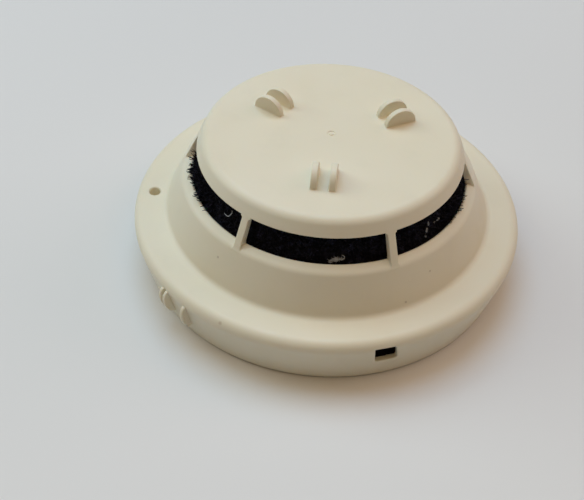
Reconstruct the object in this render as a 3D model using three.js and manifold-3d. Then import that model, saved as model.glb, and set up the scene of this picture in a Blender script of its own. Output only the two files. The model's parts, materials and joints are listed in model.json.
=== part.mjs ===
// A plug-in spot smoke detector: a detector head, turned onto the mounting base that its skirt hides.
// Millimetres, +Z up. The ceiling plane is z = 0 and the cap faces +Z, so the part lies on its back.
// Angles are in degrees about +Z from +X. A station's own frame has x outwards and y anticlockwise.

import * as THREE from "three";
import { mergeVertices } from "three/addons/utils/BufferGeometryUtils.js";
import Module from "manifold-3d";

const wasm = await Module();
wasm.setup();

// Fit and fineness.
const GAP = 0.3;
const BIG_SIDES = 60;
const SMALL_SIDES = 16;
const EMBED = 0.6;

// Cover: side wall, flange, cone and ledge.
const FLANGE_RADIUS = 62.5;
const FLANGE_TOP = 18.3;
const EDGE_RADIUS = 3;
const FLANGE_THICKNESS = 1.9;
const WALL_LEAN = 13.8;
const WALL_FOOT = 0.4;
const WALL_FOOT_RADIUS = 1.4;
const WALL_THICKNESS = 1.4;
const CONE_FOOT_RADIUS = 52;
const CONE_FOOT_FILLET = 2;
const SHOULDER_RADIUS = 46.4;
const SHOULDER_HEIGHT = 31;
const LEDGE_RADIUS = 43.2;
const LEDGE_HEIGHT = 32.6;

// Cover: cap, ribs and fins.
const CAP_TOP = 45.5;
const CAP_TOP_RADIUS = 39.3;
const CAP_EDGE_RADIUS = 3.2;
const RIM_RADIUS = 41.8;
const RIM_HEIGHT = 40.3;
const CAP_THICKNESS = 2;
const RIB_COUNT = 6;
const RIB_WIDTH = 2.35;
const RIB_START = -63;
const FIN_PAIR_COUNT = 3;
const FIN_PAIR_START = -93;
const FIN_RADIUS = 5.1;
const FIN_THICKNESS = 1.9;
const FIN_SPACING = 5.5;
const FIN_PLACE = 22.2;

// Cover: marks and openings in the wall and the flange.
const WALL_FIN_ANGLES = [-138.8, -136.9, -129.4];
const WALL_FIN_HEIGHT = 10.6;
const WALL_FIN_HALF_LENGTH = 4.7;
const WALL_FIN_REACH = 2.4;
const WALL_FIN_THICKNESS = 1.2;
const RELEASE_ANGLE = -71.4;
const RELEASE_WIDTH = 6.4;
const RELEASE_BOTTOM = 8.8;
const RELEASE_TOP = 15.8;
const RECESS_PLACE = 56.4;
const RECESS_ANGLE = -178.4;
const RECESS_RADIUS = 1.8;
const RECESS_FLOOR = 14.4;

// Cover: bosses for the chassis screws, and the rib that stops the turn.
const BOSS_RADIUS = 3;
const BOSS_BORE_RADIUS = 1.5;
const BOSS_TOP = 17.9;
const STOP_RIB_PLACE = 57.7;
const STOP_RIB_OFFSET = -7;
const STOP_RIB_THICKNESS = 1.2;

// Head chassis and the parts stacked on it.
const CHASSIS_RADIUS = 53;
const CHASSIS_BOTTOM = 10;
const CHASSIS_TOP = 12;
const SCREW_PLACE = 50;
const SCREW_ANGLES = [90, 210, 330];
const COLLAR_INNER = 45.2;
const COLLAR_OUTER = 47.2;
const COLLAR_BOTTOM = 3.4;
const TAB_ANGLES = [20, 140, 260];
const BOARD_RADIUS = 46.3;
const BOARD_BOTTOM = 12.6;
const BOARD_TOP = 14.2;
const CHAMBER_FLOOR_BOTTOM = 28.2;
const CHAMBER_FLOOR_TOP = 29.9;
const CHAMBER_RADIUS = 41.9;
const LID_BOTTOM = 41.9;
const LID_TOP = 43.2;
const LID_RADIUS = 36.6;
const VANE_COUNT = 20;
const VANE_PLACE = 30.6;
const VANE_LENGTH = 7.2;
const VANE_THICKNESS = 1.2;
const VANE_SLANT = 50;
const SUPPORT_RING_INNER = 33;
const SUPPORT_RING_OUTER = 35;

// Light source and sensor: where they sit, and the directions that they look from.
const EMITTER_ANGLE = 180;
const SENSOR_ANGLE = 48;
const OPTIC_PLACE = 17;
const OPTIC_HEIGHT = 34.5;
const OPTIC_RADIUS = 2.5;
const OPTIC_LENGTH = 5;
const LEAD_SPREAD = 1.27;
const LEAD_HALF = 0.3;
const HOUSING_HALF_LENGTH = 5;
const HOUSING_HALF_WIDTH = 4.4;
const HOUSING_TOP = OPTIC_HEIGHT + 4;
const SHIELD_THICKNESS = 0.4;

// Components on the board: the height of their feet and the pitch of their legs.
const PART_FOOT = BOARD_TOP + GAP;
const LEG_PITCH = 1.27;

// Mounting base.
const BASE_RADIUS = 57.2;
const BASE_TOP = 2.4;
const WIRING_RADIUS = 22;
const SLOT_WIDTH = 5;
const MOUNTING_SLOTS = [
  { angle: 0, from: 32.5, to: 44.5 },
  { angle: 180, from: 32.5, to: 44.5 },
  { angle: 90, from: 26, to: 33 },
  { angle: 270, from: 26, to: 33 },
];
const RING_INNER = 50.3;
const RING_OUTER = 52.3;
const RING_TOP = 8.3;
const LEVER_PIVOT_PLACE = 56.2;
const LEVER_PIVOT_HEIGHT = 4.2;
const LEVER_WIDTH = 5;
const LEVER_TOP = 15;
const LEVER_HEAD_WIDTH = 10.4;
const LEVER_HEAD_BOTTOM = 6.5;
const LEVER_BARREL_RADIUS = 1.4;
const PIN_BORE_RADIUS = 0.95;
const PIN_RADIUS = 0.65;
const PIN_LENGTH = 9.2;
const EAR_PLACE = 3.6;
const EAR_THICKNESS = 1.6;
const TERMINAL_ANGLES = [45, 135, 225, 315];
const TERMINAL_PLACE = 38.6;
const BLADE_BOTTOM = 5.2;
const BLADE_THICKNESS = 0.8;
const TERMINAL_SCREW_Y = -10;
const TERMINAL_HOLE_RADIUS = 2;
const BLADE_X0 = TERMINAL_PLACE - 1.8;
const BLADE_X1 = TERMINAL_PLACE + 1.8;
const BLADE_TAIL_Y = 5.2;

const radians = THREE.MathUtils.degToRad;

// ---- Solids ----

// A closed geometry as a solid that can be joined and cut.
function toSolid(geometry) {
  const plain = geometry.clone();
  plain.deleteAttribute("normal");
  plain.deleteAttribute("uv");
  const merged = mergeVertices(plain, 1e-4);
  const corners = merged.index.array;
  const kept = [];
  for (let i = 0; i < corners.length; i += 3) {
    const [a, b, c] = corners.slice(i, i + 3);
    if (a !== b && b !== c && c !== a) kept.push(a, b, c);
  }
  return new wasm.Manifold(
    new wasm.Mesh({
      numProp: 3,
      vertProperties: merged.attributes.position.array,
      triVerts: new Uint32Array(kept),
    }),
  );
}

// A solid as a geometry with flat faces.
function toGeometry(solid) {
  const mesh = solid.getMesh();
  const points = new Float32Array(mesh.numVert * 3);
  for (let i = 0; i < mesh.numVert; i++) {
    points.set(mesh.vertProperties.subarray(i * mesh.numProp, i * mesh.numProp + 3), i * 3);
  }
  const indexed = new THREE.BufferGeometry();
  indexed.setAttribute("position", new THREE.BufferAttribute(points, 3));
  indexed.setIndex(new THREE.BufferAttribute(mesh.triVerts, 1));
  const geometry = indexed.toNonIndexed();
  geometry.computeVertexNormals();
  return geometry;
}

// The pieces joined into one, with the tools cut from it.
function shaped(pieces, tools = []) {
  let solid = toSolid(pieces[0]);
  for (const piece of pieces.slice(1)) solid = solid.add(toSolid(piece));
  for (const tool of tools) solid = solid.subtract(toSolid(tool));
  return toGeometry(solid);
}

// ---- Outlines ----

// A closed outline from corners [across, up, rounding radius]; an arc step is about 30 degrees.
function roundedOutline(corners) {
  const points = [];
  corners.forEach(([x, y, radius], i) => {
    const corner = new THREE.Vector2(x, y);
    if (!radius) {
      points.push(corner);
      return;
    }
    const before = corners[(i + corners.length - 1) % corners.length];
    const after = corners[(i + 1) % corners.length];
    const back = new THREE.Vector2(before[0] - x, before[1] - y).normalize();
    const on = new THREE.Vector2(after[0] - x, after[1] - y).normalize();
    const half = Math.acos(THREE.MathUtils.clamp(back.dot(on), -1, 1)) / 2;
    const centre = back.clone().add(on).normalize().multiplyScalar(radius / Math.sin(half)).add(corner);
    const first = back.clone().multiplyScalar(radius / Math.tan(half)).add(corner).sub(centre);
    const last = on.clone().multiplyScalar(radius / Math.tan(half)).add(corner).sub(centre);
    const turn = Math.atan2(first.cross(last), first.dot(last));
    const steps = Math.max(1, Math.round(Math.abs(turn) / radians(30)));
    for (let k = 0; k <= steps; k++) {
      points.push(first.clone().rotateAround(new THREE.Vector2(), (turn * k) / steps).add(centre));
    }
  });
  return points;
}

// The outline of a bent strip: its centre line, given as points, made `thickness` thick.
function stripOutline(line, thickness) {
  const left = [];
  const right = [];
  line.forEach((point, i) => {
    const here = new THREE.Vector2(...point);
    const before = new THREE.Vector2(...line[Math.max(0, i - 1)]);
    const after = new THREE.Vector2(...line[Math.min(line.length - 1, i + 1)]);
    const along = after.sub(before).normalize();
    const side = new THREE.Vector2(-along.y, along.x).multiplyScalar(thickness / 2);
    left.push(here.clone().add(side));
    right.unshift(here.clone().sub(side));
  });
  return [...left, ...right];
}

// ---- Shapes with +Z up ----

// A closed outline of (radius, height) points turned about the Z axis.
function turned(outline, sides) {
  const points = THREE.ShapeUtils.area(outline) < 0 ? [...outline].reverse() : [...outline];
  const onAxis = points.findIndex((p, i) => p.x === 0 && points[(i + 1) % points.length].x === 0);
  const ordered = [...points.slice(onAxis + 1), ...points.slice(0, onAxis + 1)];
  if (onAxis < 0) ordered.push(ordered[0].clone());
  return new THREE.LatheGeometry(ordered, sides).rotateX(Math.PI / 2);
}

function tube(inner, outer, bottom, top, sides = BIG_SIDES) {
  return turned(roundedOutline([[inner, bottom], [outer, bottom], [outer, top], [inner, top]]), sides);
}

function rod(radius, bottom, top, x = 0, y = 0, sides = SMALL_SIDES) {
  const geometry = new THREE.CylinderGeometry(radius, radius, top - bottom, sides);
  return geometry.rotateX(Math.PI / 2).translate(x, y, (bottom + top) / 2);
}

function block(x0, x1, y0, y1, z0, z1) {
  const geometry = new THREE.BoxGeometry(x1 - x0, y1 - y0, z1 - z0);
  return geometry.translate((x0 + x1) / 2, (y0 + y1) / 2, (z0 + z1) / 2);
}

// An outline in the (x, z) plane, made `width` wide about y = 0.
function standing(outline, width) {
  const flat = { depth: width, bevelEnabled: false };
  const geometry = new THREE.ExtrudeGeometry(new THREE.Shape(outline), flat);
  return geometry.rotateX(Math.PI / 2).translate(0, width / 2, 0);
}

// An outline in the (y, z) plane, made from x0 to x1.
function crosswise(outline, x0, x1) {
  const flat = { depth: x1 - x0, bevelEnabled: false };
  const geometry = new THREE.ExtrudeGeometry(new THREE.Shape(outline), flat);
  return geometry.rotateX(Math.PI / 2).rotateZ(Math.PI / 2).translate(x0, 0, 0);
}

// A piece of a ring between two angles.
function sector(inner, outer, from, to, bottom, top) {
  const shape = new THREE.Shape();
  shape.absarc(0, 0, outer, radians(from), radians(to), false);
  shape.absarc(0, 0, inner, radians(to), radians(from), true);
  const curveSegments = Math.max(2, Math.ceil((to - from) / 5));
  const flat = { depth: top - bottom, bevelEnabled: false, curveSegments };
  const geometry = new THREE.ExtrudeGeometry(shape, flat);
  return geometry.translate(0, 0, bottom);
}

// A piece of a station carried round to the station's angle.
function round(geometry, angle) {
  return geometry.clone().rotateZ(radians(angle));
}

function every(count, start) {
  return Array.from({ length: count }, (_, i) => start + (360 / count) * i);
}

// ---- Materials ----

const colours = {
  ivory_plastic: { color: 0xe9e2cb, roughness: 0.55, metalness: 0 },
  black_foam: { color: 0x0c0b0e, roughness: 1, metalness: 0 },
  black_plastic: { color: 0x17171a, roughness: 0.6, metalness: 0 },
  base_plastic: { color: 0xdfd8c2, roughness: 0.6, metalness: 0 },
  circuit_board: { color: 0x1d5a37, roughness: 0.5, metalness: 0 },
  component_black: { color: 0x1b1b1d, roughness: 0.45, metalness: 0 },
  component_blue: { color: 0x223a78, roughness: 0.35, metalness: 0 },
  clear_plastic: { color: 0xb9c4cf, roughness: 0.2, metalness: 0 },
  contact_metal: { color: 0xb9b6ac, roughness: 0.35, metalness: 1 },
  spring_steel: { color: 0x8f9296, roughness: 0.4, metalness: 1 },
};

const detector = new THREE.Group();

function addTo(group, name, colour, geometry) {
  const mesh = new THREE.Mesh(geometry, new THREE.MeshStandardMaterial(colours[colour]));
  mesh.name = name;
  group.add(mesh);
  return mesh;
}

function station(angle) {
  const group = new THREE.Group();
  group.rotation.z = radians(angle);
  detector.add(group);
  return group;
}

// ---- Outer cover ----

// Outer radius of the leaning side wall at a height.
const leanPerMm = Math.tan(radians(WALL_LEAN));
const edgeCentre = FLANGE_RADIUS - EDGE_RADIUS;
const wallCorner = edgeCentre + EDGE_RADIUS / Math.cos(radians(WALL_LEAN)) + EDGE_RADIUS * leanPerMm;
function wallRadius(height) {
  return wallCorner - (FLANGE_TOP - height) * leanPerMm;
}

function coverRing() {
  const underside = FLANGE_TOP - FLANGE_THICKNESS;
  return turned(
    roundedOutline([
      [wallRadius(WALL_FOOT) - WALL_THICKNESS, WALL_FOOT],
      [wallRadius(WALL_FOOT), WALL_FOOT, WALL_FOOT_RADIUS],
      [wallCorner, FLANGE_TOP, EDGE_RADIUS],
      [CONE_FOOT_RADIUS, FLANGE_TOP, CONE_FOOT_FILLET],
      [SHOULDER_RADIUS, SHOULDER_HEIGHT, 1.2],
      [LEDGE_RADIUS, LEDGE_HEIGHT],
      [LEDGE_RADIUS - 0.3, LEDGE_HEIGHT - 1.7],
      [SHOULDER_RADIUS - 1.8, SHOULDER_HEIGHT - 1],
      [CONE_FOOT_RADIUS - 1.35, underside],
      [wallRadius(underside) - WALL_THICKNESS, underside, 1.2],
    ]),
    BIG_SIDES,
  );
}

function cap() {
  return turned(
    roundedOutline([
      [0, CAP_TOP],
      [CAP_TOP_RADIUS, CAP_TOP, CAP_EDGE_RADIUS],
      [RIM_RADIUS, RIM_HEIGHT, 0.5],
      [RIM_RADIUS - 2.1, RIM_HEIGHT],
      [CAP_TOP_RADIUS - 1.7, CAP_TOP - CAP_THICKNESS, 1.2],
      [0, CAP_TOP - CAP_THICKNESS],
    ]),
    BIG_SIDES,
  );
}

// A rib runs from inside the cap's rim, down the slot, into the shoulder.
function rib() {
  const outline = roundedOutline([
    [RIM_RADIUS - 0.6, RIM_HEIGHT + 0.9],
    [RIM_RADIUS, RIM_HEIGHT],
    [SHOULDER_RADIUS - 0.15, SHOULDER_HEIGHT + 0.1],
    [SHOULDER_RADIUS - 1, SHOULDER_HEIGHT - 0.7],
    [LEDGE_RADIUS, LEDGE_HEIGHT - 1.6],
    [LEDGE_RADIUS - 0.5, LEDGE_HEIGHT],
    [RIM_RADIUS - 2.2, RIM_HEIGHT + 0.1],
    [RIM_RADIUS - 2, RIM_HEIGHT + 0.9],
  ]);
  return standing(outline, RIB_WIDTH);
}

// A half-disc fin standing on the cap, in the plane of the pair's radial line.
function capFin(side) {
  const shape = new THREE.Shape();
  shape.absarc(0, 0, FIN_RADIUS, 0, Math.PI, false);
  shape.lineTo(-FIN_RADIUS, -EMBED);
  shape.lineTo(FIN_RADIUS, -EMBED);
  const flat = { depth: FIN_THICKNESS, bevelEnabled: false, curveSegments: 12 };
  const geometry = new THREE.ExtrudeGeometry(shape, flat).rotateX(Math.PI / 2);
  return geometry.translate(FIN_PLACE, FIN_THICKNESS / 2 + (side * FIN_SPACING) / 2, CAP_TOP);
}

// A D-shaped fin standing on the leaning side wall.
function wallFin() {
  const shape = new THREE.Shape();
  shape.absellipse(0, 0, WALL_FIN_REACH, WALL_FIN_HALF_LENGTH, -Math.PI / 2, Math.PI / 2, false, 0);
  shape.lineTo(-EMBED, WALL_FIN_HALF_LENGTH);
  shape.lineTo(-EMBED, -WALL_FIN_HALF_LENGTH);
  const flat = { depth: WALL_FIN_THICKNESS, bevelEnabled: false, curveSegments: 10 };
  const geometry = new THREE.ExtrudeGeometry(shape, flat).rotateX(Math.PI / 2);
  geometry.translate(0, WALL_FIN_THICKNESS / 2, 0).rotateY(radians(WALL_LEAN));
  return geometry.translate(wallRadius(WALL_FIN_HEIGHT), 0, WALL_FIN_HEIGHT);
}

// The rib inside the wall that comes round to the lever when the head is turned back.
function stopRib() {
  const half = STOP_RIB_THICKNESS / 2;
  const insideWall = wallRadius(CHASSIS_BOTTOM) - WALL_THICKNESS;
  return block(STOP_RIB_PLACE, insideWall + EMBED, -half, half, CHASSIS_BOTTOM, CHASSIS_BOTTOM + 5);
}

function outerCover() {
  const boss = rod(BOSS_RADIUS, CHASSIS_TOP + GAP, BOSS_TOP, SCREW_PLACE);
  const bossBore = rod(BOSS_BORE_RADIUS, CHASSIS_TOP, BOSS_TOP - 1, SCREW_PLACE, 0, 12);
  const pieces = [
    coverRing(),
    cap(),
    ...every(RIB_COUNT, RIB_START).map((angle) => round(rib(), angle)),
    ...every(FIN_PAIR_COUNT, FIN_PAIR_START).map((angle) => round(capFin(-1), angle)),
    ...every(FIN_PAIR_COUNT, FIN_PAIR_START).map((angle) => round(capFin(1), angle)),
    ...WALL_FIN_ANGLES.map((angle) => round(wallFin(), angle)),
    ...SCREW_ANGLES.map((angle) => round(boss, angle)),
    round(rod(BOSS_RADIUS, RECESS_FLOOR - 1.6, FLANGE_TOP - 1, RECESS_PLACE), RECESS_ANGLE),
    round(stopRib(), RELEASE_ANGLE + STOP_RIB_OFFSET),
  ];
  const half = RELEASE_WIDTH / 2;
  const farOut = FLANGE_RADIUS + 3;
  const tools = [
    round(block(LEVER_PIVOT_PLACE, farOut, -half, half, RELEASE_BOTTOM, RELEASE_TOP), RELEASE_ANGLE),
    round(rod(RECESS_RADIUS, RECESS_FLOOR, FLANGE_TOP + 1, RECESS_PLACE), RECESS_ANGLE),
    ...SCREW_ANGLES.map((angle) => round(bossBore, angle)),
  ];
  return shaped(pieces, tools);
}

addTo(detector, "outer_cover", "ivory_plastic", outerCover());

// ---- Foam screen and optical chamber ----

function foamScreen() {
  const thickness = 4;
  const foot = CHAMBER_FLOOR_TOP + GAP;
  const top = LID_BOTTOM - GAP;
  return turned(
    roundedOutline([
      [LEDGE_RADIUS - 1, foot],
      [LEDGE_RADIUS - 1, foot + 1.3],
      [RIM_RADIUS - 3.3, top],
      [RIM_RADIUS - 3.3 - thickness, top],
      [LEDGE_RADIUS - 1 - thickness, foot],
    ]),
    BIG_SIDES,
  );
}

addTo(detector, "foam_screen", "black_foam", foamScreen());

// The lid's slanting vanes overlap, so that air passes between them and light doesn't.
function chamberLid() {
  const long = VANE_LENGTH / 2;
  const thick = VANE_THICKNESS / 2;
  const vane = block(-long, long, -thick, thick, CHAMBER_FLOOR_TOP + GAP, LID_BOTTOM + EMBED);
  vane.rotateZ(radians(VANE_SLANT)).translate(VANE_PLACE, 0, 0);
  const disc = rod(LID_RADIUS, LID_BOTTOM, LID_TOP, 0, 0, BIG_SIDES);
  return shaped([disc, ...every(VANE_COUNT, 0).map((angle) => round(vane, angle))]);
}

addTo(detector, "chamber_lid", "black_plastic", chamberLid());

// A housing block with a bore that looks towards the middle of the chamber.
function opticHousing() {
  const long = HOUSING_HALF_LENGTH;
  const wide = HOUSING_HALF_WIDTH;
  return block(OPTIC_PLACE - long, OPTIC_PLACE + long, -wide, wide, CHAMBER_FLOOR_TOP - EMBED, HOUSING_TOP);
}

function opticBore() {
  const radius = OPTIC_RADIUS + GAP;
  const bore = new THREE.CylinderGeometry(radius, radius, 2 * HOUSING_HALF_LENGTH + 4, SMALL_SIDES);
  return bore.rotateZ(Math.PI / 2).translate(OPTIC_PLACE, 0, OPTIC_HEIGHT);
}

function leadSlot() {
  return block(OPTIC_PLACE + 3, OPTIC_PLACE + 5.8, -2, 2, CHAMBER_FLOOR_BOTTOM - 1, OPTIC_HEIGHT);
}

function chamberBase() {
  const angles = [EMITTER_ANGLE, SENSOR_ANGLE];
  const pieces = [
    rod(CHAMBER_RADIUS, CHAMBER_FLOOR_BOTTOM, CHAMBER_FLOOR_TOP, 0, 0, BIG_SIDES),
    tube(SUPPORT_RING_INNER, SUPPORT_RING_OUTER, BOARD_TOP + GAP, CHAMBER_FLOOR_BOTTOM + EMBED, 48),
    ...angles.map((angle) => round(opticHousing(), angle)),
  ];
  const tools = angles.flatMap((angle) => [round(opticBore(), angle), round(leadSlot(), angle)]);
  return shaped(pieces, tools);
}

addTo(detector, "chamber_base", "black_plastic", chamberBase());

// A capsule in its bore, domed or flat, with two leads that turn down to the circuit board.
function opticDevice(domed) {
  const body = new THREE.CylinderGeometry(OPTIC_RADIUS, OPTIC_RADIUS, OPTIC_LENGTH, SMALL_SIDES);
  body.rotateZ(Math.PI / 2).translate(OPTIC_PLACE, 0, OPTIC_HEIGHT);
  const pieces = [body];
  if (domed) {
    const dome = new THREE.SphereGeometry(OPTIC_RADIUS, SMALL_SIDES, 10);
    pieces.push(dome.translate(OPTIC_PLACE - OPTIC_LENGTH / 2, 0, OPTIC_HEIGHT));
  }
  const back = OPTIC_PLACE + OPTIC_LENGTH / 2;
  const bend = back + 1.9;
  for (const y of [-LEAD_SPREAD, LEAD_SPREAD]) {
    const [y0, y1] = [y - LEAD_HALF, y + LEAD_HALF];
    pieces.push(block(back - 0.5, bend, y0, y1, OPTIC_HEIGHT - LEAD_HALF, OPTIC_HEIGHT + LEAD_HALF));
    pieces.push(block(bend - 2 * LEAD_HALF, bend, y0, y1, PART_FOOT, OPTIC_HEIGHT));
  }
  return shaped(pieces);
}

addTo(station(EMITTER_ANGLE), "infrared_emitter", "clear_plastic", opticDevice(true));
addTo(station(SENSOR_ANGLE), "photodiode", "component_black", opticDevice(false));

// A folded sheet over the sensor's housing, open at the front and the back.
function photodiodeShield() {
  const inner = HOUSING_HALF_WIDTH + GAP;
  const outer = inner + SHIELD_THICKNESS;
  const foot = CHAMBER_FLOOR_TOP + GAP;
  const top = HOUSING_TOP + GAP;
  const sheet = block(OPTIC_PLACE - 4, OPTIC_PLACE + 4, -outer, outer, foot, top + SHIELD_THICKNESS);
  const hollow = block(OPTIC_PLACE - 5, OPTIC_PLACE + 5, -inner, inner, foot - 1, top);
  return shaped([sheet], [hollow]);
}

addTo(station(SENSOR_ANGLE), "photodiode_shield", "contact_metal", photodiodeShield());

// ---- Circuit board and its components ----

addTo(detector, "circuit_board", "circuit_board", rod(BOARD_RADIUS, BOARD_BOTTOM, BOARD_TOP, 0, 0, 60));

// A flat package with legs along both long sides, lying on the board.
function chip(length, width, height, legs) {
  const pieces = [block(-width / 2, width / 2, -length / 2, length / 2, PART_FOOT + 0.2, PART_FOOT + height)];
  for (let i = 0; i < legs; i++) {
    const y = (i - (legs - 1) / 2) * LEG_PITCH;
    for (const side of [-1, 1]) {
      const x = side * (width / 2 + 0.4);
      pieces.push(block(x - 0.6, x + 0.6, y - 0.2, y + 0.2, PART_FOOT, PART_FOOT + 0.5));
    }
  }
  return shaped(pieces);
}

addTo(station(-25), "controller_chip", "component_black", chip(8.7, 3.9, 1.7, 6)).position.x = 40.6;
addTo(station(75), "bridge_rectifier", "component_black", chip(8.4, 6.2, 3.2, 2)).position.x = 40.4;

// An electrolytic capacitor standing on the board, with the groove that locks its sleeve.
function storageCapacitor() {
  const radius = 4;
  const top = PART_FOOT + 11.2;
  const outline = roundedOutline([
    [0, PART_FOOT],
    [radius, PART_FOOT, 0.4],
    [radius, PART_FOOT + 1.6],
    [radius - 0.4, PART_FOOT + 2],
    [radius, PART_FOOT + 2.4],
    [radius, top, 0.4],
    [0, top],
  ]);
  return turned(outline, SMALL_SIDES);
}

addTo(station(20), "storage_capacitor", "component_blue", storageCapacitor()).position.x = 40.4;

// A round component lying across the board between two legs.
function lyingComponent(radius, length, span) {
  const height = PART_FOOT + radius + 0.4;
  const body = new THREE.CylinderGeometry(radius, radius, length, SMALL_SIDES).translate(0, 0, height);
  const pieces = [body, block(-0.3, 0.3, -span / 2, span / 2, height - 0.3, height + 0.3)];
  for (const side of [-1, 1]) {
    pieces.push(block(-0.3, 0.3, (side * span) / 2 - 0.3, (side * span) / 2 + 0.3, PART_FOOT, height + 0.3));
  }
  return shaped(pieces);
}

addTo(station(110), "surge_suppressor", "component_black", lyingComponent(2.2, 8, 13)).position.x = 40.2;
addTo(station(-178), "reed_switch", "clear_plastic", lyingComponent(1.2, 12, 17)).position.x = 42;

// A transistor-shaped package: a cylinder with one flat side, on three legs.
function alarmThyristor() {
  const pieces = [rod(2.4, PART_FOOT + 2, PART_FOOT + 6.8)];
  for (const y of [-LEG_PITCH, 0, LEG_PITCH]) {
    pieces.push(block(-0.25, 0.25, y - 0.25, y + 0.25, PART_FOOT, PART_FOOT + 2.5));
  }
  return shaped(pieces, [block(1.4, 4, -4, 4, PART_FOOT + 1, PART_FOOT + 8)]);
}

addTo(station(-60), "alarm_thyristor", "component_black", alarmThyristor()).position.x = 40.2;

// ---- Chassis, its screws and the contact blades ----

function chassis() {
  const pieces = [
    rod(CHASSIS_RADIUS, CHASSIS_BOTTOM, CHASSIS_TOP, 0, 0, BIG_SIDES),
    tube(COLLAR_INNER, COLLAR_OUTER, COLLAR_BOTTOM, CHASSIS_BOTTOM + EMBED),
    ...TAB_ANGLES.map((a) => sector(COLLAR_OUTER - EMBED, RING_INNER - 0.4, a - 8, a + 8, COLLAR_BOTTOM, 6)),
    ...every(3, 0).map((angle) => round(rod(2.5, CHASSIS_TOP - EMBED, BOARD_BOTTOM - GAP, 43, 0, 12), angle)),
  ];
  const slot = block(BLADE_X0 - 0.4, BLADE_X1 + 0.4, BLADE_TAIL_Y - 0.4, BLADE_TAIL_Y + 1.2, 9, 13);
  const tools = [
    ...TERMINAL_ANGLES.map((angle) => round(slot, angle)),
    ...SCREW_ANGLES.map((angle) => round(rod(1.6, 9, 13, SCREW_PLACE, 0, 12), angle)),
  ];
  return shaped(pieces, tools);
}

addTo(detector, "chassis", "black_plastic", chassis());

// A slotted pan-head screw with its head's underside at z = 0; the shank points up.
function panScrew(headRadius, headHeight, shankRadius, length) {
  const outline = roundedOutline([
    [0, -headHeight],
    [headRadius, -headHeight, headHeight * 0.6],
    [headRadius, 0],
    [shankRadius, 0],
    [shankRadius, length],
    [0, length],
  ]);
  const depth = -headHeight + Math.min(0.9, headHeight * 0.6);
  return shaped([turned(outline, 12)], [block(-4, 4, -0.4, 0.4, -headHeight - 1, depth)]);
}

SCREW_ANGLES.forEach((angle, i) => {
  const shape = panScrew(2.4, 0.9, 1.2, 6.8);
  const screw = addTo(station(angle), "chassis_screw_" + (i + 1), "spring_steel", shape);
  screw.position.set(SCREW_PLACE, 0, CHASSIS_BOTTOM - 0.25);
});

// A blade lies level under the chassis, and its tail turns up through the chassis to the board.
function contactBlade() {
  const tailEnd = BLADE_TAIL_Y + BLADE_THICKNESS;
  return shaped([
    block(BLADE_X0, BLADE_X1, -3, tailEnd, BLADE_BOTTOM, BLADE_BOTTOM + BLADE_THICKNESS),
    block(BLADE_X0, BLADE_X1, BLADE_TAIL_Y, tailEnd, BLADE_BOTTOM, BOARD_BOTTOM - GAP),
  ]);
}

TERMINAL_ANGLES.forEach((angle, i) => {
  addTo(station(angle), "contact_blade_" + (i + 1), "contact_metal", contactBlade());
});

// ---- Mounting base ----

// A slot with round ends along the station's x axis.
function mountingSlot(from, to) {
  const half = SLOT_WIDTH / 2;
  const end = half * 0.999;
  const shape = new THREE.Shape(
    roundedOutline([
      [from, -half, end],
      [to, -half, end],
      [to, half, end],
      [from, half, end],
    ]),
  );
  return new THREE.ExtrudeGeometry(shape, { depth: BASE_TOP + 2, bevelEnabled: false }).translate(0, 0, -1);
}

// A tab that turns in over the head's tabs, and the post that it stands on.
function holdingTab(angle) {
  const inner = COLLAR_OUTER + 0.4;
  const outer = RING_INNER + EMBED;
  return [
    sector(inner, outer, angle - 10, angle + 10, 6.3, RING_TOP),
    sector(inner, outer, angle - 11.5, angle - 8.6, BASE_TOP - EMBED, 7),
  ];
}

// One of the two ears that carry the lever's pin.
function ear(side) {
  const half = EAR_THICKNESS / 2;
  const y = side * EAR_PLACE;
  return block(54.6, 57, y - half, y + half, BASE_TOP - EMBED, LEVER_PIVOT_HEIGHT + 1.6);
}

function basePlate() {
  const anvil = block(BLADE_X0, BLADE_X1, -3, 3, BASE_TOP - EMBED, BLADE_BOTTOM - GAP);
  const terminalHole = rod(TERMINAL_HOLE_RADIUS, -1, 4, TERMINAL_PLACE, TERMINAL_SCREW_Y, 12);
  const pieces = [
    tube(WIRING_RADIUS, BASE_RADIUS, 0, BASE_TOP),
    tube(RING_INNER, RING_OUTER, BASE_TOP - EMBED, RING_TOP),
    ...TAB_ANGLES.flatMap((angle) => holdingTab(angle)),
    ...TERMINAL_ANGLES.map((angle) => round(anvil, angle)),
    ...[-1, 1].map((side) => round(ear(side), RELEASE_ANGLE)),
  ];
  const pinHole = new THREE.CylinderGeometry(PIN_BORE_RADIUS, PIN_BORE_RADIUS, 12, 12);
  pinHole.translate(LEVER_PIVOT_PLACE, 0, LEVER_PIVOT_HEIGHT);
  const tools = [
    ...MOUNTING_SLOTS.map(({ angle, from, to }) => round(mountingSlot(from, to), angle)),
    ...TERMINAL_ANGLES.map((angle) => round(terminalHole, angle)),
    round(pinHole, RELEASE_ANGLE),
  ];
  return shaped(pieces, tools);
}

addTo(detector, "base_plate", "base_plastic", basePlate());

// A spring contact: its tail lies under the terminal screw and its leaf presses on the blade.
function springContact() {
  const thickness = 0.6;
  const tail = BASE_TOP + GAP + thickness / 2;
  const leaf = BLADE_BOTTOM + BLADE_THICKNESS + GAP + thickness / 2;
  const line = [
    [-13.6, tail],
    [-5.9, tail],
    [-5.2, tail + 0.5],
    [-4.4, leaf - 0.3],
    [-3.7, leaf + 0.1],
    [3.2, leaf],
    [4.4, leaf + 0.8],
  ];
  const strip = crosswise(stripOutline(line, thickness), TERMINAL_PLACE - 2.6, TERMINAL_PLACE + 2.6);
  return shaped([strip], [rod(TERMINAL_HOLE_RADIUS, 0, 5, TERMINAL_PLACE, TERMINAL_SCREW_Y, 12)]);
}

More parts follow.
